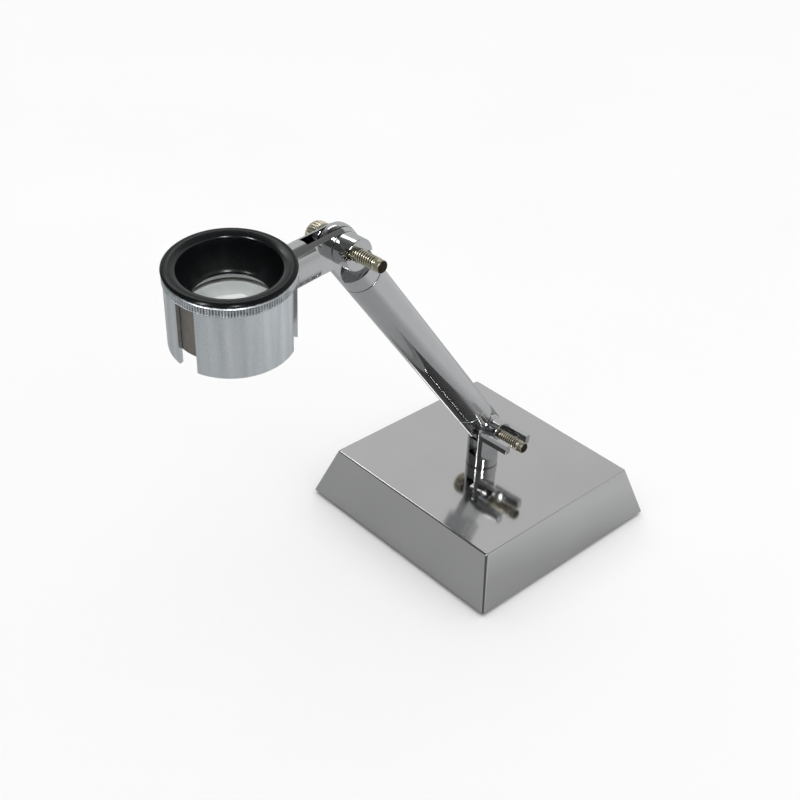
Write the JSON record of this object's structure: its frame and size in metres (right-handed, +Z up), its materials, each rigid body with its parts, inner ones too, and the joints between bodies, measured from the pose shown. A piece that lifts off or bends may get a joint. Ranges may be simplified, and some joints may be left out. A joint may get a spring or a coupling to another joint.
{
  "type": "loupe bench stand",
  "caption": "Bench stand for an eye loupe: heavy plated block, short forked post, tilting arm and a slotted collet that holds a black-rimmed magnifier.",
  "frame": {"origin": "centre of the underside of the base pad, on the table", "axes": "+Z up, the arm leans towards -Y, the thumb nuts are on the +X side"},
  "size_m": [0.074, 0.146, 0.1204],
  "materials": {
    "base_plating": "bright plating with a faint brushed haze on top, satin on the sloped sides",
    "chrome": "bright polished plating",
    "nickel": "plated machine screw, slightly yellow",
    "satin_metal": "fine satin, brushed lengthwise",
    "turned_metal": "dull turned surface with fine rings",
    "steel_hardware": "plain zinc plated",
    "black_lacquer": "semi-gloss black, matt inside the bore",
    "lens_glass": "clear polished glass",
    "felt_rubber": "matt thin sheet"
  },
  "bodies": {
    "base": {"base_pad": "felt_rubber", "base_block": "base_plating", "post_washer": "steel_hardware"},
    "post": {"post": "chrome", "post_screw": "steel_hardware", "lower_screw": "nickel"},
    "lower_nut": {"lower_nut": "chrome"},
    "arm": {"arm_lower_end": "chrome", "arm_tube": "chrome", "arm_upper_end": "chrome"},
    "holder": {"holder_stem": "chrome", "upper_screw": "nickel", "collet_rivet": "steel_hardware"},
    "upper_nut": {"upper_nut": "chrome"},
    "collet": {"stem_saddle": "satin_metal", "collet": "satin_metal"},
    "loupe": {"loupe_barrel": "turned_metal", "field_lens": "lens_glass", "lens_spacer": "satin_metal", "eye_lens": "lens_glass"},
    "eyecup": {"eyecup": "black_lacquer"}
  },
  "joints": [
    {"name": "post_swivel", "type": "hinge", "parent": "base", "child": "post", "pos_m": [0, 0, 0.0168], "axis": [0, 0, 1], "continuous": true},
    {"name": "lower_nut_turn", "type": "hinge", "parent": "post", "child": "lower_nut", "pos_m": [0, 0, 0.0295], "axis": [0.9986, 0.0523, 0], "continuous": true},
    {"name": "arm_tilt", "type": "hinge", "parent": "post", "child": "arm", "pos_m": [0, 0, 0.0295], "axis": [0.9986, 0.0523, 0], "range_deg": [-127.2, 52.8]},
    {"name": "holder_tilt", "type": "hinge", "parent": "arm", "child": "holder", "pos_m": [0.00329, -0.06279, 0.11234], "axis": [0.9986, 0.0523, 0], "range_deg": [-167.2, 52.8]},
    {"name": "upper_nut_turn", "type": "hinge", "parent": "holder", "child": "upper_nut", "pos_m": [0.00329, -0.06279, 0.11234], "axis": [0.9986, 0.0523, 0], "continuous": true},
    {"name": "collet_roll", "type": "hinge", "parent": "holder", "child": "collet", "pos_m": [0.00496, -0.09465, 0.10988], "axis": [-0.0522, 0.9957, 0.0767], "continuous": true},
    {"name": "loupe_lift", "type": "slide", "parent": "collet", "child": "loupe", "axis": [0.0841, -0.0722, 0.9938], "range_m": [0, 0.012]},
    {"name": "eyecup_turn", "type": "hinge", "parent": "loupe", "child": "eyecup", "pos_m": [0.00496, -0.09465, 0.10988], "axis": [0.0841, -0.0722, 0.9938], "continuous": true}
  ]
}
